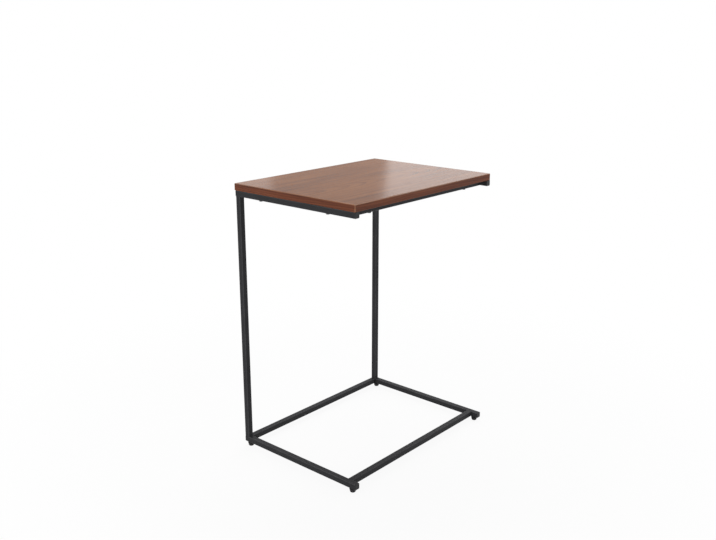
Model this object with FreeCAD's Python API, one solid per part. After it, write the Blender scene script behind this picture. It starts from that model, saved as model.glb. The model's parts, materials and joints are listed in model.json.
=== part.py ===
import FreeCAD, Part
import os

# C-shaped side table. A square-tube frame carries a veneered board from one side only, so that
# the base slides under a seat. +X runs from the uprights to the open front, +Y to the right-hand
# side as seen from that front, +Z up. The origin is on the floor, under the middle of the board.
# All sizes are in millimetres.

# The board on top.
table_height = 610.0
top_depth = 342.0
top_width = 462.0
top_thickness = 15.0
veneer_thickness = 0.6
backing_thickness = 0.6
edge_band_thickness = 2.0
corner_radius = 1.8
upper_arris_radius = 1.6
lower_arris_radius = 0.8

# The steel tube of the whole frame, and where its members stand.
tube_side = 12.7
tube_wall = 1.2
tube_corner_radius = 1.6
back_overhang = 4.0
front_cross_inset = 18.0

# The moulded caps in the open ends of the rails.
cap_flange_thickness = 1.2
cap_edge_radius = 0.9
cap_plug_length = 6.4
cap_plug_wall = 1.4
cap_plug_clearance = 0.3
cap_fin_thickness = 0.8
cap_fin_count = 2

# The screw-in levelling feet: pad, stud, and the insert in the bottom rail.
foot_inset = 11.6
pad_height = 8.3
pad_top_diameter = 15.0
pad_base_diameter = 10.8
pad_base_radius = 2.4
pad_top_radius = 0.6
stud_diameter = 6.0
stud_embed = 5.0
stud_end_gap = 1.0
stud_chamfer = 0.6
foot_stop_gap = 0.3
insert_flange_diameter = 11.6
insert_flange_thickness = 0.8
insert_body_diameter = 8.8
insert_body_length = 9.0
thread_clearance = 0.08
insert_seat_clearance = 0.05

# The pan-head screws that come up through the frame into the board.
screw_shank_diameter = 4.0
screw_head_diameter = 8.0
screw_head_height = 2.4
screw_head_radius = 1.2
screw_grip = 10.0
screw_tip_length = 3.0
screw_tip_diameter = 0.8
screw_recess_span = 4.4
screw_recess_width = 1.2
screw_recess_depth = 1.4
screw_tube_clearance = 0.3
screw_pilot_clearance = 0.1
rail_screw_spacing = 190.0
cross_screw_spacing = 324.0

# How far a cutting tool runs past the face that it leaves, and how near an edge lies to a level
# to count as being at it.
cut_overrun = 1.0
level_match = 0.05

# Levels, from the floor up.
frame_lift = pad_height + foot_stop_gap + insert_flange_thickness
bottom_rail_top = frame_lift + tube_side
board_underside = table_height - top_thickness
top_rail_underside = board_underside - tube_side

# Places in plan. The caps end flush with the front edge of the board, and those at the back of the
# base end flush with the uprights. The top rails reach as far back as the uprights themselves, so
# their back caps stand out behind them, under the overhang of the board.
board_front = top_depth / 2
frame_back = -top_depth / 2 + back_overhang
rail_front = board_front - cap_flange_thickness
top_rail_back = frame_back
bottom_rail_back = frame_back + cap_flange_thickness
rail_offset = top_width / 2 - tube_side / 2
cross_length = top_width - 2 * tube_side
back_cross_x = frame_back + tube_side / 2
front_cross_x = board_front - front_cross_inset - tube_side / 2
foot_x = {"front": rail_front - foot_inset, "back": bottom_rail_back + foot_inset}
SIDES = {"left": -1, "right": 1}
ENDS = ("front", "back")

Vector = FreeCAD.Vector
UP = Vector(0, 0, 1)
TURNS = {
    "x": FreeCAD.Rotation(Vector(0, 1, 0), 90),
    "y": FreeCAD.Rotation(Vector(1, 0, 0), -90),
    "z": FreeCAD.Rotation(),
    "-x": FreeCAD.Rotation(Vector(0, 1, 0), -90),
}


def save(node, shape):
    """Writes one node and says how many solids it has and how large they are."""
    shape.exportStep(f"parts/{node}.step")
    print(f"{node}: {len(shape.Solids)} solid(s), {shape.Volume:.0f} mm3, valid {shape.isValid()}")


def laid(shape, axis, start):
    """A shape made along +Z from the origin, laid along an axis from a start point."""
    shape.Placement = FreeCAD.Placement(start, TURNS[axis])
    return shape


def square_bar(side, radius, length):
    """A square bar up the Z axis from the origin, with its four long edges rounded."""
    bar = Part.makeBox(side, side, length, Vector(-side / 2, -side / 2, 0))
    if radius <= 0:
        return bar
    long_edges = [e for e in bar.Edges if e.tangentAt(e.FirstParameter).cross(UP).Length < abs(
        e.tangentAt(e.FirstParameter).dot(UP))]
    return bar.makeFillet(radius, long_edges)


def rod(radius, bottom, height, x=0, y=0):
    """A round rod that stands upright on a level."""
    return Part.makeCylinder(radius, height, Vector(x, y, bottom))


def turned(points):
    """A solid of revolution about the Z axis, from a half outline of (radius, height) points."""
    outline = Part.makePolygon([Vector(r, 0, z) for r, z in points + points[:1]])
    return Part.Face(outline).revolve(Vector(), UP, 360)


def round_edges_at(solid, level, radius):
    """Rounds the circular edges of a turned solid that lie at one height."""
    edges = [e for e in solid.Edges if e.BoundBox.ZLength < level_match
             and abs(e.BoundBox.ZMin - level) < level_match and len(e.Vertexes) == 1]
    return solid.makeFillet(radius, edges)


# Frame

tube_inner_side = tube_side - 2 * tube_wall
tube_inner_radius = tube_corner_radius - tube_wall


def tube(axis, start, length):
    """One cut length of the frame's square tube, open at both ends."""
    outside = square_bar(tube_side, tube_corner_radius, length)
    inside = square_bar(tube_inner_side, tube_inner_radius, length)
    return laid(outside.cut(inside), axis, start)


def drilled(member, places, radius, bottom, depth):
    """A member with round holes drilled upwards from a level."""
    for x, y in places:
        member = member.cut(rod(radius, bottom - cut_overrun, depth + cut_overrun, x, y))
    return member


insert_hole_radius = insert_body_diameter / 2 + insert_seat_clearance
screw_hole_radius = screw_shank_diameter / 2 + screw_tube_clearance


def bottom_rail(sign):
    """A rail of the base, with a hole in its lower wall for the insert of each foot."""
    y = sign * rail_offset
    start = Vector(bottom_rail_back, y, frame_lift + tube_side / 2)
    rail = tube("x", start, rail_front - bottom_rail_back)
    places = [(foot_x[end], y) for end in ENDS]
    return drilled(rail, places, insert_hole_radius, frame_lift, tube_wall + cut_overrun)


def upright(sign):
    """A post from the base rail to the top rail, at the back of both."""
    start = Vector(back_cross_x, sign * rail_offset, bottom_rail_top)
    return tube("z", start, top_rail_underside - bottom_rail_top)


def rail_screw_places(sign):
    """The two screws of one top rail, evenly about the middle of the board."""
    return [(step * rail_screw_spacing / 2, sign * rail_offset) for step in (-1, 1)]


def cross_screw_places(x):
    """The two screws of one top cross tube."""
    return [(x, step * cross_screw_spacing / 2) for step in (-1, 1)]


def top_rail(sign):
    """A rail under the board, with a hole right through it for each screw."""
    start = Vector(top_rail_back, sign * rail_offset, top_rail_underside + tube_side / 2)
    rail = tube("x", start, rail_front - top_rail_back)
    places = rail_screw_places(sign)
    return drilled(rail, places, screw_hole_radius, top_rail_underside, tube_side + cut_overrun)


def cross_tube(x, level):
    """A tube between the two rails of the base or of the top."""
    return tube("y", Vector(x, -cross_length / 2, level + tube_side / 2), cross_length)


def top_cross_tube(x):
    """A cross tube under the board, with a hole right through it for each screw."""
    member = cross_tube(x, top_rail_underside)
    places = cross_screw_places(x)
    return drilled(member, places, screw_hole_radius, top_rail_underside, tube_side + cut_overrun)


# End caps


def end_cap():
    """A cap that looks along -Z from the origin: a flange on the tube's end, a finned plug inside it."""
    flange = square_bar(tube_side, tube_corner_radius, cap_flange_thickness)
    rim = [e for e in flange.Edges if e.BoundBox.ZMax < cap_flange_thickness / 2]
    flange = flange.makeFillet(cap_edge_radius, rim)
    plug_side = tube_inner_side - 2 * cap_plug_clearance
    plug = square_bar(plug_side, tube_inner_radius, cap_plug_length)
    for number in range(cap_fin_count):
        level = cap_plug_length * (number + 1) / (cap_fin_count + 1)
        fin = square_bar(tube_inner_side, tube_inner_radius, cap_fin_thickness)
        fin.translate(Vector(0, 0, level))
        plug = plug.fuse(fin)
    hollow = square_bar(plug_side - 2 * cap_plug_wall, 0, cap_plug_length)
    plug = plug.cut(hollow)
    plug.translate(Vector(0, 0, cap_flange_thickness))
    return flange.fuse(plug).removeSplitter()


def placed_cap(end, y, level, rail_back):
    """The cap in one end of a rail that starts at a place and whose underside is at a level."""
    z = level + tube_side / 2
    if end == "front":
        return laid(end_cap(), "-x", Vector(rail_front + cap_flange_thickness, y, z))
    return laid(end_cap(), "x", Vector(rail_back - cap_flange_thickness, y, z))


# Levelling feet

stud_bottom = pad_height - stud_embed
stud_top = bottom_rail_top - tube_wall - stud_end_gap
bore_radius = stud_diameter / 2 + thread_clearance


def foot_pad():
    """The moulded pad, drawn in towards the floor, with a blind hole for its stud."""
    base = pad_base_diameter / 2
    top = pad_top_diameter / 2
    pad = turned([(0, 0), (base, 0), (top, pad_height), (0, pad_height)])
    pad = round_edges_at(pad, 0, pad_base_radius)
    pad = round_edges_at(pad, pad_height, pad_top_radius)
    return pad.cut(rod(stud_diameter / 2, stud_bottom, stud_embed + cut_overrun))


def foot_stud():
    """The stud that stands in the pad and turns in the insert, with a bevelled end."""
    radius = stud_diameter / 2
    neck = radius - stud_chamfer
    return turned([
        (0, stud_bottom), (radius, stud_bottom), (radius, stud_top - stud_chamfer), (neck, stud_top),
        (0, stud_top),
    ])


def foot_insert():
    """The threaded insert: a flange under the rail, and a body through its lower wall."""
    body = insert_body_diameter / 2
    flange = insert_flange_diameter / 2
    seat = frame_lift - insert_flange_thickness
    top = frame_lift + insert_body_length
    return turned([
        (bore_radius, seat), (flange, seat), (flange, frame_lift), (body, frame_lift), (body, top),
        (bore_radius, top),
    ])


# Board

core_depth = top_depth - 2 * edge_band_thickness
core_width = top_width - 2 * edge_band_thickness
core_underside = board_underside + backing_thickness
core_thickness = top_thickness - backing_thickness - veneer_thickness
pilot_radius = screw_shank_diameter / 2 + screw_pilot_clearance
screw_end = board_underside + screw_grip
screw_places = (
    rail_screw_places(SIDES["left"]) + rail_screw_places(SIDES["right"])
    + cross_screw_places(front_cross_x) + cross_screw_places(back_cross_x)
)


def sheet(bottom, thickness):
    """A flat sheet the size of the board inside its edge bands."""
    corner = Vector(-core_depth / 2, -core_width / 2, bottom)
    return Part.makeBox(core_depth, core_width, thickness, corner)


def with_pilot_holes(layer):
    """A layer of the board with the blind holes that the screws bite into."""
    return drilled(layer, screw_places, pilot_radius, board_underside, screw_grip)


def softened(band, is_outer):
    """A band with the long arrises of its outer face rounded, more above than below."""
    for level, radius in ((table_height, upper_arris_radius), (board_underside, lower_arris_radius)):
        arrises = [e for e in band.Edges if e.BoundBox.ZLength < level_match
                   and abs(e.BoundBox.ZMin - level) < level_match and is_outer(e)]
        band = band.makeFillet(radius, arrises)
    return band


def side_band(sign):
    """An edge band along one side of the board, round the corners as far as the front and back bands."""
    outer = sign * top_width / 2
    inner = sign * core_width / 2
    corner = Vector(-top_depth / 2, min(outer, inner), board_underside)
    band = Part.makeBox(top_depth, edge_band_thickness, top_thickness, corner)
    corners = [
        e for e in band.Edges
        if e.BoundBox.ZLength > top_thickness / 2 and abs(e.CenterOfMass.y - outer) < edge_band_thickness / 2
    ]
    band = band.makeFillet(corner_radius, corners)
    end_flat = edge_band_thickness - corner_radius
    return softened(band, lambda e: abs(e.CenterOfMass.y - inner) > end_flat / 4)


def end_band(sign):
    """An edge band along the front or the back of the board, between the side bands."""
    outer = sign * top_depth / 2
    inner = sign * core_depth / 2
    corner = Vector(min(outer, inner), -core_width / 2, board_underside)
    band = Part.makeBox(edge_band_thickness, core_width, top_thickness, corner)
    return softened(band, lambda e: abs(e.CenterOfMass.x - outer) < level_match)


def board_screw(x, y):
    """A pan-head screw with a cross recess, its head against the underside of the frame."""
    shank = screw_shank_diameter / 2
    head_bottom = top_rail_underside - screw_head_height
    tip_start = screw_end - screw_tip_length
    screw = turned([
        (0, head_bottom), (screw_head_diameter / 2, head_bottom),
        (screw_head_diameter / 2, top_rail_underside), (shank, top_rail_underside),
        (shank, tip_start), (screw_tip_diameter / 2, screw_end), (0, screw_end),
    ])
    screw = round_edges_at(screw, head_bottom, screw_head_radius)
    for span_x, span_y in ((screw_recess_span, screw_recess_width), (screw_recess_width, screw_recess_span)):
        corner = Vector(-span_x / 2, -span_y / 2, head_bottom - cut_overrun)
        screw = screw.cut(Part.makeBox(span_x, span_y, screw_recess_depth + cut_overrun, corner))
    screw.translate(Vector(x, y, 0))
    return screw


def main():
    os.makedirs("parts", exist_ok=True)

    for side, sign in SIDES.items():
        save(f"bottom_rail_{side}", bottom_rail(sign))
        save(f"upright_{side}", upright(sign))
        save(f"top_rail_{side}", top_rail(sign))
        save(f"edge_band_{side}", side_band(sign))
        for end in ENDS:
            y = sign * rail_offset
            save(f"cap_bottom_{side}_{end}", placed_cap(end, y, frame_lift, bottom_rail_back))
            save(f"cap_top_{side}_{end}", placed_cap(end, y, top_rail_underside, top_rail_back))
            for piece, make in (("pad", foot_pad), ("stud", foot_stud), ("insert", foot_insert)):
                shape = make()
                shape.translate(Vector(foot_x[end], y, 0))
                save(f"foot_{piece}_{side}_{end}", shape)

    for end, x, sign in (("front", front_cross_x, 1), ("back", back_cross_x, -1)):
        save(f"bottom_cross_tube_{end}", cross_tube(x, frame_lift))
        save(f"top_cross_tube_{end}", top_cross_tube(x))
        save(f"edge_band_{end}", end_band(sign))

    save("tabletop_backing", with_pilot_holes(sheet(board_underside, backing_thickness)))
    save("tabletop_core", with_pilot_holes(sheet(core_underside, core_thickness)))
    save("tabletop_veneer", sheet(table_height - veneer_thickness, veneer_thickness))
    save("tabletop_screws", Part.makeCompound([board_screw(x, y) for x, y in screw_places]))


main()
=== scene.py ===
# %% [markdown]
# # A C-shaped side table, dressed
#
# The table is a thin walnut board, carried from one side by a black square-tube frame. Its shapes are
# exact solids from the workshop drawing, so this lesson leaves them where they are and gives every one
# of them a finish: lacquered walnut veneer, powder coat, moulded plastic, plated steel. Then it adds the
# threads and the welds, which are too fine for the drawing, and sets up a pale studio and a camera.

# %% Load the table
import json
import math

import bmesh
import bpy
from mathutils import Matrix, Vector


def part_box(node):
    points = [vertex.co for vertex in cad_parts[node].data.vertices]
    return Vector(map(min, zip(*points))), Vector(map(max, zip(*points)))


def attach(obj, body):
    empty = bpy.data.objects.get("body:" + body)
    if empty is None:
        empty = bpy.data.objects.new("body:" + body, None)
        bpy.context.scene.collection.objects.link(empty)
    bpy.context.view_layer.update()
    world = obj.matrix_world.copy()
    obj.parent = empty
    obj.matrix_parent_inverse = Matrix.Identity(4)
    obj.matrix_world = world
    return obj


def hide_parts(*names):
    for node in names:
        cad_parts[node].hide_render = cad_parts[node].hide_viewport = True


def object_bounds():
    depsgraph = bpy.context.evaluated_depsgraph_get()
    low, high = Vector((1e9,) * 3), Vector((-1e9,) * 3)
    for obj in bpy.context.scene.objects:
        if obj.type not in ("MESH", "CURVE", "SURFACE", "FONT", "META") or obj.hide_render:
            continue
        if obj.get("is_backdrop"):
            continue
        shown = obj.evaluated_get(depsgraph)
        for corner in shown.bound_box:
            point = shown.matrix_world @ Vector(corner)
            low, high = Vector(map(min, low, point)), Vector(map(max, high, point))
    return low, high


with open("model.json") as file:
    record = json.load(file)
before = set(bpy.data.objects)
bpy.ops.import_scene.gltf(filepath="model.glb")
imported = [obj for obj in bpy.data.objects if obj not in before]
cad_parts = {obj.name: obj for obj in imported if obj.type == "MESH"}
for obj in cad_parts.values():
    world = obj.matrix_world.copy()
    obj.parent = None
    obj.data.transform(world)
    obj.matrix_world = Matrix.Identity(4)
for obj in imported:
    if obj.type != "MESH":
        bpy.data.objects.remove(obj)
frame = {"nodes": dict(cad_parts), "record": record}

cad_low, cad_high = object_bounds()
nodes = frame["nodes"]
print(f"{len(nodes)} pieces, box {cad_low[:]} to {cad_high[:]}")

# %% [markdown]
# ## Writing shaders as sums
#
# A finish such as wood is a page of arithmetic: distances to the heart of a log, noise stretched along
# the grain, thresholds for pores. Wired up by hand that is a hundred nodes. Here a small class wraps one
# socket, and Python's operators add the Math nodes, so `1 - mask` is a node. Every other kind of node
# comes from one method, `node`, which sets the node's own settings first and its sockets after.

# %% A socket that does sums
NOISE_MIDDLE = 0.5


class Wire:
    """One output socket of a finish's node tree."""

    def __init__(self, finish, socket):
        self.finish = finish
        self.socket = socket

    def math(self, operation, *values):
        """A Math node on some values, of which this wire is one."""
        return self.finish.node("ShaderNodeMath", {"operation": operation}, dict(enumerate(values)))

    def __add__(self, other):
        return self.math("ADD", self, other)

    def __sub__(self, other):
        return self.math("SUBTRACT", self, other)

    def __rsub__(self, other):
        return self.math("SUBTRACT", other, self)

    def __mul__(self, other):
        return self.math("MULTIPLY", self, other)

    def __truediv__(self, other):
        return self.math("DIVIDE", self, other)

    def __rtruediv__(self, other):
        return self.math("DIVIDE", other, self)

    __radd__ = __add__
    __rmul__ = __mul__

    def root(self):
        return self.math("SQRT", self)

    def fraction(self):
        return self.math("FRACT", self)

    def whole(self):
        return self.math("FLOOR", self)

    def size(self):
        return self.math("ABSOLUTE", self)

    def at_most(self, other):
        return self.math("MINIMUM", self, other)

    def at_least(self, other):
        return self.math("MAXIMUM", self, other)

    def swing(self):
        """Noise as a swing about nought, instead of about its middle."""
        return self - NOISE_MIDDLE

    def ease(self, low, high):
        """0 below low, 1 above high, and a smooth step between them."""
        settings = {"interpolation_type": "SMOOTHSTEP"}
        return self.finish.node("ShaderNodeMapRange", settings, {0: self, 1: low, 2: high})


print("a wire has", ", ".join(name for name in vars(Wire) if not name.startswith("_")))


# %% A finish and its nodes
class Finish:
    """The node tree of one material, or of the world, built from nothing."""

    def __init__(self, name, store=bpy.data.materials):
        self.owner = store.new(name)
        self.owner.use_nodes = True
        self.tree = self.owner.node_tree
        self.tree.nodes.clear()

    def node(self, kind, settings=None, sockets=None, out=0):
        """Adds a node: its settings first, then its sockets by name or number. Gives one output."""
        node = self.tree.nodes.new(kind)
        for key, value in (settings or {}).items():
            if key == "stops":
                self.set_stops(node.color_ramp, value)
            else:
                setattr(node, key, value)
        for key, value in (sockets or {}).items():
            if isinstance(value, Wire):
                self.tree.links.new(value.socket, node.inputs[key])
            else:
                node.inputs[key].default_value = value
        return Wire(self, node.outputs[out]) if node.outputs else None

    def set_stops(self, ramp, stops):
        """Gives a colour ramp its (place, colour) stops."""
        while len(ramp.elements) < len(stops):
            ramp.elements.new(1.0)
        for element, (place, colour) in zip(ramp.elements, stops):
            element.position = place
            element.color = (*colour, 1.0)

    def place(self):
        """The x, y and z, in metres, of the point that is shaded, on the table at rest."""
        point = self.node("ShaderNodeTexCoord", out="Object")
        return [self.node("ShaderNodeSeparateXYZ", sockets={0: point}, out=i) for i in range(3)]

    def noise(self, x, y, z, detail=2.0, rough=0.5):
        """Smooth noise, about 0 to 1, whose lumps are one unit of x, y and z across."""
        point = self.node("ShaderNodeCombineXYZ", sockets={0: x, 1: y, 2: z})
        sockets = {"Vector": point, "Scale": 1.0, "Detail": detail, "Roughness": rough}
        return self.node("ShaderNodeTexNoise", sockets=sockets)

    def grains(self, size, detail):
        """Noise whose lumps are as long as they are wide, of one size in metres."""
        x, y, z = self.place()
        return self.noise(x / size, y / size, z / size, detail)

    def chance(self, value):
        """A number from 0 to 1 that is fixed for each whole value and unlike its neighbours'."""
        return self.node("ShaderNodeTexWhiteNoise", {"noise_dimensions": "1D"}, {"W": value})

    def ramp(self, value, stops):
        """A colour picked along a ramp."""
        return self.node("ShaderNodeValToRGB", {"stops": stops}, {0: value})

    def mix(self, factor, first, second):
        """A colour between two colours."""
        colours = [c if isinstance(c, Wire) else (*c, 1.0) for c in (first, second)]
        sockets = {0: factor, 6: colours[0], 7: colours[1]}
        return self.node("ShaderNodeMix", {"data_type": "RGBA"}, sockets, out=2)

    def bump(self, height, strength, distance):
        """A normal that follows a height."""
        sockets = {"Height": height, "Strength": strength, "Distance": distance}
        return self.node("ShaderNodeBump", sockets=sockets)

    def surface(self, **sockets):
        """Ends the finish in one Principled shader and gives back its material."""
        named = {key.replace("_", " "): value for key, value in sockets.items()}
        shader = self.node("ShaderNodeBsdfPrincipled", sockets=named)
        self.node("ShaderNodeOutputMaterial", sockets={"Surface": shader})
        print(f"{self.owner.name}: {len(self.tree.nodes)} nodes")
        return self.owner


print("a finish has", ", ".join(name for name in vars(Finish) if not name.startswith("_")))

# %% [markdown]
# ## Walnut
#
# A veneer leaf is a slice through a log. Its figure is the log's growth rings, cut where the slice meets
# them, so the rings are made as they grow: as distance from the heart of the log. A heart that lies a
# little below the slice, and dips along its length, gives the long arches of plain-sliced walnut, and
# one that lies off to the side gives the straight lines of an edge band. Fibres and pores are noise,
# stretched along the grain. A picture of wood would be quicker, but it would repeat, and it could not
# run on round an edge.

# %% Sizes of the figure
# In metres. Each mark has a length along the grain and a width across it.
RING_SPACING = 0.0046
HEART_DIP = 0.075
WANDER, SMALL_WANDER, DEEP_WANDER = 0.034, 0.00544, 0.017
BEND, BEND_START = (0.3846, 0.3125), 0.0
DRIFT, DRIFT_START = (0.1429, 0.1111), 9.0
CLOUD, CLOUD_START = (0.2, 0.0714), 3.0
STREAK = (0.30, 0.009)
FIBRE = (0.085, 0.0011)
PORE = (0.0075, 0.00042)
print(f"rings {RING_SPACING * 1000:.1f} mm apart, pores {PORE[0] * 1000:.1f} mm long")

# %% How much each mark shows
FIBRE_TONE, STREAK_TONE, CLOUD_TONE = 0.46, 0.62, 0.42
RING_TONE, PORE_TONE = 0.30, 0.16
FIBRE_FRAY, STREAK_FRAY = 0.30, 0.50
PORE_EDGE = (0.62, 0.74)
LATE_START, LATE_FULL, RING_EDGE = 0.35, 0.94, 0.95
FAINTEST_RING = 0.25
SATIN, PORE_ROUGH, STREAK_ROUGH = 0.46, 0.16, 0.10
FIBRE_HEIGHT, RING_HEIGHT = 0.25, 0.20
FIGURE_BUMP, FIGURE_DEPTH = 0.10, 0.0003
print(f"late wood fills {1 - LATE_START:.0%} of each ring")

# %% Colours of the wood
VENEER_STOPS = (
    (0.00, (0.060, 0.016, 0.003)),
    (0.35, (0.142, 0.042, 0.009)),
    (0.60, (0.216, 0.072, 0.015)),
    (1.00, (0.324, 0.126, 0.032)),
)
BAND_STOPS = (
    (0.00, (0.056, 0.013, 0.005)),
    (0.35, (0.127, 0.033, 0.012)),
    (0.60, (0.192, 0.056, 0.021)),
    (1.00, (0.291, 0.100, 0.042)),
)
print(len(VENEER_STOPS), "browns for the veneer,", len(BAND_STOPS), "for its edge bands")

# %% [markdown]
# ## Rubbed edges, with a painted highlight
#
# A board's edges are sanded round before they are lacquered, and hands and cloths rub them ever after,
# so they are shinier than its faces. They are also paler, partly from that wear and partly from a painted
# highlight, which stands in for the light that the rounded edges catch. Wear could be painted by hand or
# found from the bend of the mesh. This board is a plain box, so the distance to its edges is enough, and
# it is exact.

# %% Where the board's edges are rubbed and carry a painted highlight
BOARD_ARRIS, BOARD_CORNER = 0.0016, 0.0018
BOARD_HALF_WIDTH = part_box("edge_band_right")[1][1]
RUB_AND_HIGHLIGHT_FADE = (0.6, 1.25)


def arris_mask(finish):
    """1 along the middle of the board's rounded upper edges and corners, 0 on its flat faces."""
    x, y, z = finish.place()
    from_end = cad_high.x - x.size()
    from_side = BOARD_HALF_WIDTH - y.size()
    from_top = cad_high.z - z
    corner = (from_end + from_side) / BOARD_CORNER
    top_edge = (from_top + from_end.at_most(from_side)) / BOARD_ARRIS
    return 1 - corner.at_most(top_edge).ease(*RUB_AND_HIGHLIGHT_FADE)


print(f"board {BOARD_HALF_WIDTH * 2000:.0f} mm wide")

# %% [markdown]
# ## Lacquer
#
# All the shine of the board is in its lacquer: a clear, smooth film that mirrors the studio when it is
# seen at a low angle, and that sinks a little into the pores. The wood's own shine could stand in for
# it, but that is rough, and would lie over the whole board as a grey haze. So the wood has none here,
# and a coat lies over it, which is weaker at the pores and stronger on the rubbed edges.

# %% The walnut finish
# How pale the rounded edges are made, and their pale colour: partly rubbed wear, partly a painted
# highlight.
RUB_AND_HIGHLIGHT, RUB_AND_HIGHLIGHT_STREAK, RUB_AND_HIGHLIGHT_FIBRE = 0.9, 0.7, 0.5
RUBBED_AND_HIGHLIGHT_WALNUT = (0.42, 0.205, 0.105)
LACQUER, EDGE_LACQUER, SUNK_LACQUER = 0.40, 0.5, 0.25
WOOD_SHINE, LACQUER_ROUGH = 0.0, 0.16


def walnut(name, along, across, heart_across, heart_depth, tone, stops):
    """Walnut whose grain runs along one axis and whose figure spreads across another."""
    finish = Finish(name)
    axes = dict(zip("xyz", finish.place()))
    length, breadth = axes.pop(along), axes.pop(across)
    depth = axes.popitem()[1]

    def marks(size, start=0.0, **noise):
        return finish.noise(length / size[0] + start, breadth / size[1], depth / size[1], **noise)

    bend = marks(BEND, BEND_START).swing()
    drift = marks(DRIFT, DRIFT_START).swing()
    sideways = breadth - heart_across + bend * WANDER + drift * SMALL_WANDER
    below = length * HEART_DIP + heart_depth + bend * DEEP_WANDER
    distance = (sideways * sideways + below * below).root()

    streak = marks(STREAK, detail=3.0)
    fibre = marks(FIBRE, rough=0.6)
    pore = marks(PORE, detail=1.0).ease(*PORE_EDGE)
    cloud = marks(CLOUD, CLOUD_START)

    ring = distance / RING_SPACING + fibre * FIBRE_FRAY + streak * STREAK_FRAY
    grown = ring.fraction()
    strength = finish.chance(ring.whole()) * (1 - FAINTEST_RING) + FAINTEST_RING
    late = grown.ease(LATE_START, LATE_FULL) * (1 - grown.ease(RING_EDGE, 1.0)) * strength
    tone = tone + fibre.swing() * FIBRE_TONE + streak.swing() * STREAK_TONE + cloud.swing() * CLOUD_TONE
    tone = tone - late * RING_TONE - pore * PORE_TONE

    # Edge mask: its pale base colour is partly wear and partly a painted highlight; its extra lacquer is
    # real shine.
    rubbed_and_highlight = arris_mask(finish) * (streak * RUB_AND_HIGHLIGHT_STREAK + fibre * RUB_AND_HIGHLIGHT_FIBRE)
    height = fibre * FIBRE_HEIGHT - pore - late * RING_HEIGHT
    return finish.surface(
        Base_Color=finish.mix(rubbed_and_highlight * RUB_AND_HIGHLIGHT, finish.ramp(tone, stops), RUBBED_AND_HIGHLIGHT_WALNUT),
        Roughness=SATIN + pore * PORE_ROUGH + streak.swing() * STREAK_ROUGH,
        Normal=finish.bump(height, FIGURE_BUMP, FIGURE_DEPTH),
        Coat_Weight=LACQUER + rubbed_and_highlight * EDGE_LACQUER - pore * SUNK_LACQUER,
        Coat_Roughness=LACQUER_ROUGH, Specular_IOR_Level=WOOD_SHINE,
    )


walnut_top = walnut(
    "walnut_veneer", along="y", across="x", heart_across=0.028, heart_depth=0.052, tone=0.58,
    stops=VENEER_STOPS,
)
walnut_side = walnut(
    "walnut_band_side", along="x", across="z", heart_across=0.44, heart_depth=0.030, tone=0.46,
    stops=BAND_STOPS,
)
walnut_end = walnut(
    "walnut_band_end", along="y", across="z", heart_across=0.47, heart_depth=0.024, tone=0.46,
    stops=BAND_STOPS,
)

# %% [markdown]
# ## Powder coat
#
# The frame is steel tube under baked powder. Close up the coat is a fine orange peel, about a millimetre
# from lump to lump, with a scatter of flatter and shinier grains, and it is never quite black. Powder
# draws back from an edge as it melts, so the tube's rounded edges are thinner and a little more polished
# than its faces. Their paler colour is partly that thinner coat and partly a painted highlight, which
# stands in for the light that the rounded edges catch. How near a point is to an edge follows from its
# distance to the middle line of its tube, and those lines can be read from the pieces themselves.

# %% The middle lines of the tubes
def middle(node):
    """The middle of a piece's box."""
    low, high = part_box(node)
    return (low + high) / 2


rail_y = middle("bottom_rail_right").y
low_z, high_z = middle("bottom_rail_right").z, middle("top_rail_right").z
front_x, back_x = middle("bottom_cross_tube_front").x, middle("bottom_cross_tube_back").x
tube_low, tube_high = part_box("bottom_rail_right")
tube_side = tube_high.z - tube_low.z
print(f"tubes of {tube_side * 1000:.1f} mm, rails at y {rail_y:.4f} m")

# %% Where the coat is thin and the edges carry a painted highlight
EDGE_START, EDGE_MIDDLE = 0.0018, 0.0010


def from_pair(wire, first, second):
    """How far a point lies from the nearer of two places along one axis."""
    return ((wire - (first + second) / 2).size() - abs(first - second) / 2).size()


def tube_edge(finish, along):
    """1 on the rounded edges of the tubes that run along one axis, 0 on their flat faces."""
    x, y, z = finish.place()
    off_middle = {
        "x": from_pair(x, front_x, back_x),
        "y": from_pair(y, rail_y, -rail_y),
        "z": from_pair(z, low_z, high_z),
    }
    off_middle.pop(along)
    return sum(off_middle.values()).ease(tube_side - EDGE_START, tube_side - EDGE_MIDDLE)


print(f"thin coat starts {EDGE_START * 1000:.1f} mm inside an edge")

# %% The powder coat finish
PEEL, POWDER_GRAIN, HANDLING = 0.0011, 0.00035, 0.045
SPECK_EDGE = (0.60, 0.72)
# The third colour is for the rounded edges: partly a thinner coat, partly a painted highlight.
COAT_BLACK, COAT_GREY, COAT_THIN_AND_HIGHLIGHT = (0.028, 0.028, 0.030), (0.052, 0.052, 0.055), (0.105, 0.105, 0.110)
SMUDGE_SHADE, SPECK_SHADE, PEEL_SHADE = 0.70, 0.35, 0.20
COAT_ROUGH, SMUDGE_ROUGH, PEEL_ROUGH, SPECK_ROUGH = 0.50, 0.20, 0.10, 0.06
THIN_AND_HIGHLIGHT_SMUDGE, THIN_AND_HIGHLIGHT_PEEL, THIN_POLISH = 0.5, 0.3, 0.2
GRAIN_HEIGHT, COAT_BUMP, COAT_DEPTH = 0.25, 0.16, 0.0003
COAT_SHINE = 0.06


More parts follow.
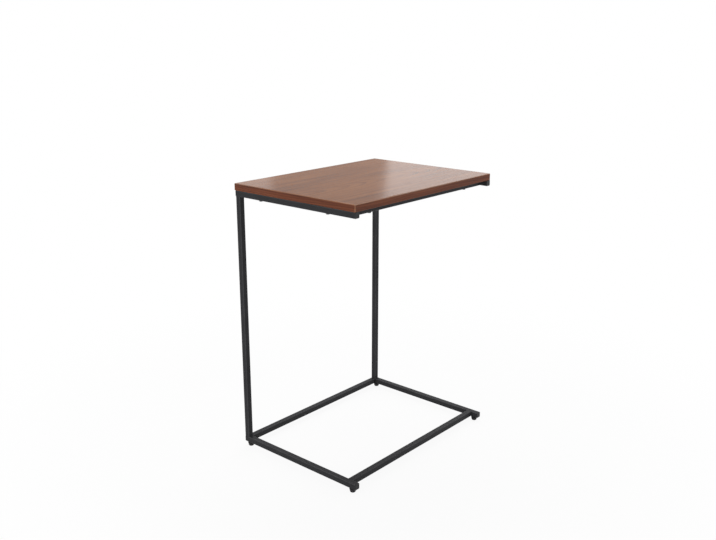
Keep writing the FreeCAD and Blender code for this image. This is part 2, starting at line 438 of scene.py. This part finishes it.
def powder_coat(name, along=None):
    """Powder coat for the tubes that run along one axis, or for welds, which have no edges."""
    finish = Finish(name)
    peel = finish.grains(PEEL, detail=1.0)
    grain = finish.grains(POWDER_GRAIN, detail=0.0)
    smudge = finish.grains(HANDLING, detail=4.0)
    speck = grain.ease(*SPECK_EDGE)
    grey = smudge.swing() * SMUDGE_SHADE + speck * SPECK_SHADE + peel * PEEL_SHADE
    shade = finish.mix(grey, COAT_BLACK, COAT_GREY)
    rough = COAT_ROUGH + smudge.swing() * SMUDGE_ROUGH + peel.swing() * PEEL_ROUGH - speck * SPECK_ROUGH
    if along:
        # Rounded edges: a thinner, more polished coat, whose paler colour is partly a painted highlight.
        thin_and_highlight = tube_edge(finish, along) * (smudge * THIN_AND_HIGHLIGHT_SMUDGE + peel * THIN_AND_HIGHLIGHT_PEEL)
        shade = finish.mix(thin_and_highlight, shade, COAT_THIN_AND_HIGHLIGHT)
        rough = rough - thin_and_highlight * THIN_POLISH
    return finish.surface(
        Base_Color=shade, Roughness=rough, Specular_IOR_Level=COAT_SHINE,
        Normal=finish.bump(peel + grain * GRAIN_HEIGHT, COAT_BUMP, COAT_DEPTH),
    )


rail_coat = powder_coat("powder_coat_rails", "x")
cross_coat = powder_coat("powder_coat_cross_tubes", "y")
upright_coat = powder_coat("powder_coat_uprights", "z")
weld_coat = powder_coat("powder_coat_welds")

# %% [markdown]
# ## Moulded plastic
#
# The end caps and the foot pads are moulded in black plastic. A mould is spark-eroded, which leaves a
# fine pebble, and the flow of the melt leaves soft cloudy patches of gloss. Both are noise, at two sizes.
# The pads stand on the floor, so they also pick up a little pale dust at their lower edge, which is
# a matter of height alone.

# %% The plastic finishes
PEBBLE, FLOW = 0.0006, 0.006
FLOW_SHADE, PEBBLE_SHADE = 0.6, 0.4
DUST_TOP, DUST_EDGE, DUST = 0.0035, (0.35, 0.65), (0.16, 0.15, 0.14)
FLOW_ROUGH, DUST_ROUGH = 0.18, 0.20
PEBBLE_BUMP, PEBBLE_DEPTH = 0.14, 0.0002
PLASTIC_SHINE = 0.18


def moulded_plastic(name, colour, paler, rough, dust):
    """Black plastic between two shades, with a share of dust near the floor."""
    finish = Finish(name)
    height = finish.place()[2]
    pebble = finish.grains(PEBBLE, detail=1.0)
    flow = finish.grains(FLOW, detail=3.0)
    dusty = (1 - height.ease(0.0, DUST_TOP)) * flow.ease(*DUST_EDGE) * dust
    clean = finish.mix(flow * FLOW_SHADE + pebble * PEBBLE_SHADE, colour, paler)
    return finish.surface(
        Base_Color=finish.mix(dusty, clean, DUST), Specular_IOR_Level=PLASTIC_SHINE,
        Roughness=rough + flow.swing() * FLOW_ROUGH + dusty * DUST_ROUGH,
        Normal=finish.bump(pebble, PEBBLE_BUMP, PEBBLE_DEPTH),
    )


cap_black = moulded_plastic(
    "cap_plastic", colour=(0.019, 0.019, 0.020), paler=(0.034, 0.034, 0.035), rough=0.48, dust=0.0,
)
pad_black = moulded_plastic(
    "foot_plastic", colour=(0.015, 0.015, 0.016), paler=(0.028, 0.028, 0.029), rough=0.56, dust=0.5,
)

# %% [markdown]
# ## Plated steel
#
# The studs of the feet are steel with a thin bright coat of zinc, which dries with faint straw
# patches. The screws under the board have a black coat, worn a little on the high spots. Both are the
# same finish with other colours: soft patches, and fine scratches that run round the turned shape.

# %% The plated finishes
PATCH, SCRATCH = 0.004, 0.0003
PATCH_EDGE, PATCH_ROUGH = (0.35, 0.70), 0.20
SCRATCH_BUMP, SCRATCH_DEPTH = 0.12, 0.0001


def plated(name, colour, tinted, metallic, rough):
    """A plated metal with patches of a second tint."""
    finish = Finish(name)
    x, y, z = finish.place()
    patch = finish.grains(PATCH, detail=3.0)
    scratch = finish.noise(x / PATCH, y / PATCH, z / SCRATCH, detail=1.0)
    return finish.surface(
        Base_Color=finish.mix(patch.ease(*PATCH_EDGE), colour, tinted), Metallic=metallic,
        Roughness=rough + patch.swing() * PATCH_ROUGH,
        Normal=finish.bump(scratch, SCRATCH_BUMP, SCRATCH_DEPTH),
    )


bright_zinc = plated(
    "zinc_plate", colour=(0.62, 0.61, 0.58), tinted=(0.56, 0.52, 0.42), metallic=1.0, rough=0.33,
)
black_zinc = plated(
    "black_screw_plate", colour=(0.030, 0.030, 0.031), tinted=(0.058, 0.056, 0.054), metallic=0.6,
    rough=0.42,
)

# %% [markdown]
# ## Inside and under the board
#
# The core is fibreboard: fine pale fibres pressed flat, with darker flecks. Under it is a balancing
# sheet, which keeps the board from cupping as it dries. It is a plain brown paper with a printed grain
# that runs the same way as the veneer. A print has no rings to grow, so streaks alone will do.

# %% The core
FLECK, LAYER_WIDTH, LAYER_HEIGHT = 0.0012, 0.02, 0.001
FLECK_SHADE, LAYER_SHADE = 0.7, 0.3
CORE_DARK, CORE_PALE = (0.30, 0.19, 0.11), (0.52, 0.38, 0.25)
CORE_ROUGH, CORE_BUMP, CORE_DEPTH = 0.86, 0.20, 0.0002


def fibreboard(name):
    """Pressed fibres, in flecks and flat layers."""
    finish = Finish(name)
    x, y, z = finish.place()
    fleck = finish.grains(FLECK, detail=3.0)
    layer = finish.noise(x / LAYER_WIDTH, y / LAYER_WIDTH, z / LAYER_HEIGHT)
    return finish.surface(
        Base_Color=finish.mix(fleck * FLECK_SHADE + layer * LAYER_SHADE, CORE_DARK, CORE_PALE),
        Roughness=CORE_ROUGH, Normal=finish.bump(fleck, CORE_BUMP, CORE_DEPTH),
    )


board_core = fibreboard("fibreboard_core")

# %% The balancing sheet
PRINT_EDGE = (0.3, 0.7)
SHEET_DARK, SHEET_PALE = (0.082, 0.034, 0.018), (0.135, 0.060, 0.032)
SHEET_ROUGH, TOOTH_ROUGH = 0.62, 0.20
TOOTH_BUMP, TOOTH_DEPTH = 0.10, 0.0002


def balancing_sheet(name):
    """Brown paper with a printed grain."""
    finish = Finish(name)
    x, y, z = finish.place()
    printed = finish.noise(x / STREAK[1], y / STREAK[0], z, detail=4.0).ease(*PRINT_EDGE)
    tooth = finish.grains(FLECK, detail=2.0)
    return finish.surface(
        Base_Color=finish.mix(printed, SHEET_DARK, SHEET_PALE),
        Roughness=SHEET_ROUGH + tooth.swing() * TOOTH_ROUGH,
        Normal=finish.bump(tooth, TOOTH_BUMP, TOOTH_DEPTH),
    )


board_back = balancing_sheet("balancing_sheet")

# %% [markdown]
# ## Dressing the pieces
#
# Each piece already names the slot that its finish belongs to, so a table from slot to material dresses
# them all. Tubes and edge bands that run another way than the first of their slot need the finish that
# is made for their direction.

# %% A finish for every piece
FINISHES = {
    "powder_coat": rail_coat, "cap_plastic": cap_black, "foot_plastic": pad_black,
    "zinc_steel": bright_zinc, "black_screw": black_zinc, "walnut_veneer": walnut_top,
    "backing_sheet": board_back, "board_core": board_core, "walnut_edge": walnut_side,
}
OTHER_WAY = {
    "upright_": upright_coat, "bottom_cross_tube_": cross_coat, "top_cross_tube_": cross_coat,
    "edge_band_front": walnut_end, "edge_band_back": walnut_end,
}
for part in frame["record"]["subparts"]:
    name = part["node"]
    finish = FINISHES[part["material_slot"]]
    for start, own in OTHER_WAY.items():
        if name.startswith(start):
            finish = own
    nodes[name].data.materials.clear()
    nodes[name].data.materials.append(finish)

# %% [markdown]
# ## Threads
#
# Each foot stands on a metric stud whose thread shows when the foot is screwed out. The solid stud is
# a plain bar, which is all that its fit needs. A thread could be cut by sweeping a triangle along
# a helix, but on a bar it is simpler to let the radius itself rise and fall once per turn: every point
# knows its height and its angle, and together they say how far up the thread's flank it is.

# %% One threaded stud
THREAD_PITCH, THREAD_DEPTH, STUD_BEVEL = 0.0010, 0.00054, 0.0006
FLANK_RISE = 1.15
TURN_STEPS, PITCH_STEPS = 36, 8


def threaded_stud(radius, length):
    """A mesh of a right-hand threaded bar that stands on the origin, with a bevelled upper end."""
    rows = round(length / THREAD_PITCH * PITCH_STEPS)
    points, faces = [], []
    for row in range(rows + 1):
        height = length * row / rows
        crest = min(radius, radius - STUD_BEVEL + (length - height))
        for step in range(TURN_STEPS):
            share = step / TURN_STEPS
            flank = abs((height / THREAD_PITCH - share) % 1 - 0.5) * 2
            reach = min(crest, radius - THREAD_DEPTH * min(flank * FLANK_RISE, 1.0))
            turn = share * math.tau
            points.append((reach * math.cos(turn), reach * math.sin(turn), height))
    for row in range(rows):
        low, high = row * TURN_STEPS, (row + 1) * TURN_STEPS
        for step in range(TURN_STEPS):
            beside = (step + 1) % TURN_STEPS
            faces.append((low + step, low + beside, high + beside, high + step))
    faces.append(tuple(reversed(range(TURN_STEPS))))
    faces.append(tuple(range(rows * TURN_STEPS, (rows + 1) * TURN_STEPS)))
    mesh = bpy.data.meshes.new("threaded_stud")
    mesh.from_pydata(points, [], faces)
    return mesh


stud_low, stud_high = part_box("foot_stud_left_front")
stud_mesh = threaded_stud((stud_high.x - stud_low.x) / 2, stud_high.z - stud_low.z)
stud_mesh.materials.append(bright_zinc)
print("thread of", len(stud_mesh.polygons), "faces")

# %% A thread on each foot
for side in ("left", "right"):
    for end in ("front", "back"):
        node = f"foot_stud_{side}_{end}"
        stud = bpy.data.objects.new(f"foot_thread_{side}_{end}", stud_mesh)
        bpy.context.scene.collection.objects.link(stud)
        low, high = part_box(node)
        stud.location = ((low.x + high.x) / 2, (low.y + high.y) / 2, low.z)
        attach(stud, f"foot_{side}_{end}")
        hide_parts(node)
print("four threaded studs")

# %% [markdown]
# ## Welds
#
# Where two tubes meet, a welder runs a short bead along each inside corner and fills the groove that
# a rounded edge leaves on a flush face. The coat then flows over both. A bead could be a bevelled curve,
# but its ripple is easier on a mesh: a short rod, half sunk in the tubes, whose radius swells a little
# with every pulse of the welder.

# %% One weld bead
BEAD_SIDES, BEAD_STATIONS = 12, 28
BEAD_BLUNTNESS, BEAD_TIP = 6, 0.1
PULSE, PULSE_SWELL = 0.0017, 0.05


def add_bead(mesh, start, end, radius):
    """Adds a rippled rod with rounded ends to a mesh that is being built."""
    run = end - start
    side = run.orthogonal().normalized()
    other = run.normalized().cross(side)
    rings = []
    for station in range(BEAD_STATIONS + 1):
        share = station / BEAD_STATIONS
        taper = math.sqrt(max(1 - (2 * share - 1) ** BEAD_BLUNTNESS, BEAD_TIP ** 2))
        swell = 1 + PULSE_SWELL * math.sin(share * run.length / PULSE * math.tau)
        ring = []
        for step in range(BEAD_SIDES):
            turn = step / BEAD_SIDES * math.tau
            out = side * math.cos(turn) + other * math.sin(turn)
            ring.append(mesh.verts.new(start + run * share + out * (radius * taper * swell)))
        rings.append(ring)
    for low, high in zip(rings, rings[1:]):
        for step in range(BEAD_SIDES):
            beside = (step + 1) % BEAD_SIDES
            mesh.faces.new((low[step], low[beside], high[beside], high[step]))
    mesh.faces.new(reversed(rings[0]))
    mesh.faces.new(rings[-1])


print("a bead has", BEAD_SIDES * BEAD_STATIONS + 2, "faces")

# %% Beads in corners and grooves
TUBE_CORNER = 0.0016
BEAD_RADIUS, BEAD_LIFT = 0.0015, 0.0004
GROOVE_RADIUS, GROOVE_SINK, GROOVE_DEPTH = 0.00115, 0.00098, 0.00065
flat = tube_side / 2 - TUBE_CORNER


def corner_bead(mesh, corner, first, second, along):
    """A bead in an inside corner, between two faces that lead away from it."""
    middle_line = corner + (first + second) * BEAD_LIFT
    add_bead(mesh, middle_line - along * flat, middle_line + along * flat, BEAD_RADIUS)


def groove_bead(mesh, corner, out, into, along):
    """A bead that fills the groove beside a rounded edge, level with a face that looks out."""
    middle_line = corner - out * GROOVE_SINK + into * GROOVE_DEPTH
    add_bead(mesh, middle_line - along * flat, middle_line + along * flat, GROOVE_RADIUS)


print(f"beads {flat * 2000:.1f} mm long")

# %% The beads of each corner
X, Y, Z = Vector((1, 0, 0)), Vector((0, 1, 0)), Vector((0, 0, 1))


def weld_corner(mesh, end, across, level, up):
    """The welds where a rail meets a cross tube and, at the back, an upright."""
    half = tube_side / 2
    at_front = end == "front"
    x = front_x if at_front else back_x
    inner = across * (rail_y - half)
    for way in (1, -1) if at_front else (1,):
        corner_bead(mesh, Vector((x + way * half, inner, level)), X * way, Y * -across, Z)
    for face in (1, -1) if at_front else (-up,):
        groove_bead(mesh, Vector((x, inner, level + face * half)), Z * face, Y * across, X)
    if not at_front:
        foot = level + up * half
        corner_bead(mesh, Vector((x + half, across * rail_y, foot)), X, Z * up, Y)
        corner_bead(mesh, Vector((x, inner, foot)), Y * -across, Z * up, X)
        groove_bead(mesh, Vector((x, across * (rail_y + half), foot)), Y * across, Z * -up, X)


for row, level, up in (("bottom", low_z, 1), ("top", high_z, -1)):
    for side, across in (("left", -1), ("right", 1)):
        for end in ("front", "back"):
            build = bmesh.new()
            weld_corner(build, end, across, level, up)
            mesh = bpy.data.meshes.new(f"weld_{row}_{side}_{end}")
            build.to_mesh(mesh)
            build.free()
            mesh.shade_smooth()
            mesh.materials.append(weld_coat)
            weld = bpy.data.objects.new(mesh.name, mesh)
            bpy.context.scene.collection.objects.link(weld)
            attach(weld, "frame")
print("eight welded corners")

# %% [markdown]
# ## Floor
#
# A shop photograph of furniture is often cut out onto white. Here the white is the floor's own colour:
# to the camera and to reflections it glows, a little less near the table, so that the table's shadow
# still lies on it. More light would also give white, but it would bleach the table. The floor's lower
# side lets the eye through, so that the feet and the underside of the board can be looked at too.

# %% Floor
FLOOR_SPAN = 24.0
SHADOW_RADIUS, WHITE_RADIUS = 0.45, 1.2
FLOOR_GLOW = 0.92
SPECKLE, PAPER_DARK, PAPER_PALE = 0.0333, (0.80, 0.80, 0.80), (0.84, 0.84, 0.84)
WHITE = (1.0, 1.0, 1.0, 1.0)
SEEN_RAYS = ("Is Camera Ray", "Is Glossy Ray", "Is Transmission Ray")


def is_seen(finish):
    """1 for what the camera sees, straight or in a reflection, and 0 for what only gives light."""
    camera, glossy, clear = (finish.node("ShaderNodeLightPath", out=ray) for ray in SEEN_RAYS)
    return camera.at_least(glossy).at_least(clear)


floor_finish = Finish("studio_floor")
floor_x, floor_y, floor_z = floor_finish.place()
from_table = (floor_x * floor_x + floor_y * floor_y).root()
glow = from_table.ease(SHADOW_RADIUS, WHITE_RADIUS) * (1 - FLOOR_GLOW) + FLOOR_GLOW
speckle = floor_finish.noise(floor_x / SPECKLE, floor_y / SPECKLE, floor_z, detail=3.0)
paper = floor_finish.mix(speckle, PAPER_DARK, PAPER_PALE)
matte = floor_finish.node("ShaderNodeBsdfDiffuse", sockets={"Color": paper})
white = floor_finish.node("ShaderNodeEmission", sockets={"Color": WHITE})
upper = {0: glow * is_seen(floor_finish), 1: matte, 2: white}
upper = floor_finish.node("ShaderNodeMixShader", sockets=upper)
from_below = floor_finish.node("ShaderNodeNewGeometry", out="Backfacing")
lower = floor_finish.node("ShaderNodeBsdfTransparent")
both = floor_finish.node("ShaderNodeMixShader", sockets={0: from_below, 1: upper, 2: lower})
floor_finish.node("ShaderNodeOutputMaterial", sockets={"Surface": both})

bpy.ops.mesh.primitive_plane_add(size=FLOOR_SPAN, location=(0.0, 0.0, cad_low.z))
floor = bpy.context.object
floor.name = "studio_floor"
floor.data.materials.append(floor_finish.owner)
floor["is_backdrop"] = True
print("floor", FLOOR_SPAN, "m across")

# %% [markdown]
# ## Sky
#
# The studio's walls and ceiling throw an even light from all round, which a world of one grey gives.
# What the camera sees of it is white, as the floor is.

# %% Sky
SKY_LIGHT = 0.55

sky = Finish("studio_sky", bpy.data.worlds)
light = sky.node("ShaderNodeBackground", sockets={"Color": WHITE, "Strength": SKY_LIGHT})
white = sky.node("ShaderNodeBackground", sockets={"Color": WHITE, "Strength": 1.0})
both = sky.node("ShaderNodeMixShader", sockets={0: is_seen(sky), 1: light, 2: white})
sky.node("ShaderNodeOutputWorld", sockets={"Surface": both})
bpy.context.scene.world = sky.owner
print("sky light", SKY_LIGHT)

# %% [markdown]
# ## Lamps
#
# The light on the table is soft and plain, so it comes from large softboxes: one on the left that makes
# the near faces the brighter ones, one above, two far behind whose reflections lie on the lacquer, and
# a weak one in front. A sun or a spot would draw hard shadows that a shop photograph doesn't have.

# %% Lamps
table_middle = (cad_low + cad_high) / 2


def softbox(name, place, width, height, watts):
    """A rectangular lamp that faces the middle of the table."""
    lamp = bpy.data.lights.new(name, "AREA")
    lamp.shape = "RECTANGLE"
    lamp.size, lamp.size_y = width, height
    lamp.energy = watts
    holder = bpy.data.objects.new(name, lamp)
    bpy.context.scene.collection.objects.link(holder)
    holder.location = place
    holder.rotation_euler = (table_middle - Vector(place)).to_track_quat("-Z", "Y").to_euler()
    holder.visible_camera = False
    print(f"{name}: {watts} W")


softbox("key_left", place=(-0.6, -2.3, 1.1), width=1.6, height=1.6, watts=20.0)
softbox("overhead", place=(-0.7, 0.7, 2.2), width=1.1, height=1.1, watts=19.0)
softbox("sheen_behind", place=(-0.9, 2.5, 1.15), width=1.8, height=0.8, watts=7.0)
softbox("sheen_left", place=(-3.6, 2.4, 1.4), width=1.0, height=0.7, watts=2.0)
softbox("fill_front", place=(1.9, 1.5, 0.9), width=1.2, height=1.2, watts=9.0)

# %% [markdown]
# ## Camera
#
# The photograph looks down on the table from its front left. The camera stands at the same place. Only
# its tilt differs: the photograph keeps the uprights upright, as a shifted lens does, and this camera
# has no shift, so that the table stays in the middle of every other view.

# %% Camera
IMAGE_WIDTH = 716
EYE = Vector((1.2137, -1.4159, 0.9375))
AZIMUTH, PITCH = math.radians(41.156), math.radians(16.057)
FOCAL_PIXELS = 860.3

camera_data = bpy.data.cameras.new("photo_camera")
camera = bpy.data.objects.new("photo_camera", camera_data)
bpy.context.scene.collection.objects.link(camera)
bpy.context.scene.camera = camera
camera_data.lens = FOCAL_PIXELS / IMAGE_WIDTH * camera_data.sensor_width
looking = Vector((
    -math.sin(AZIMUTH) * math.cos(PITCH), math.cos(AZIMUTH) * math.cos(PITCH), -math.sin(PITCH),
))
camera.location = EYE
camera.rotation_euler = looking.to_track_quat("-Z", "Y").to_euler()
bpy.context.scene.view_settings.view_transform = "Standard"
print(f"camera lens {camera_data.lens:.1f} mm")

# %% [markdown]
# ## Sizes
#
# Dressing must not make the table larger. The box of the solids was measured at the start, so the box
# of all that is visible now is set beside it.

# %% Print the visible box and finish
bpy.context.view_layer.update()
low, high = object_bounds()
print("visual box", low[:], high[:])
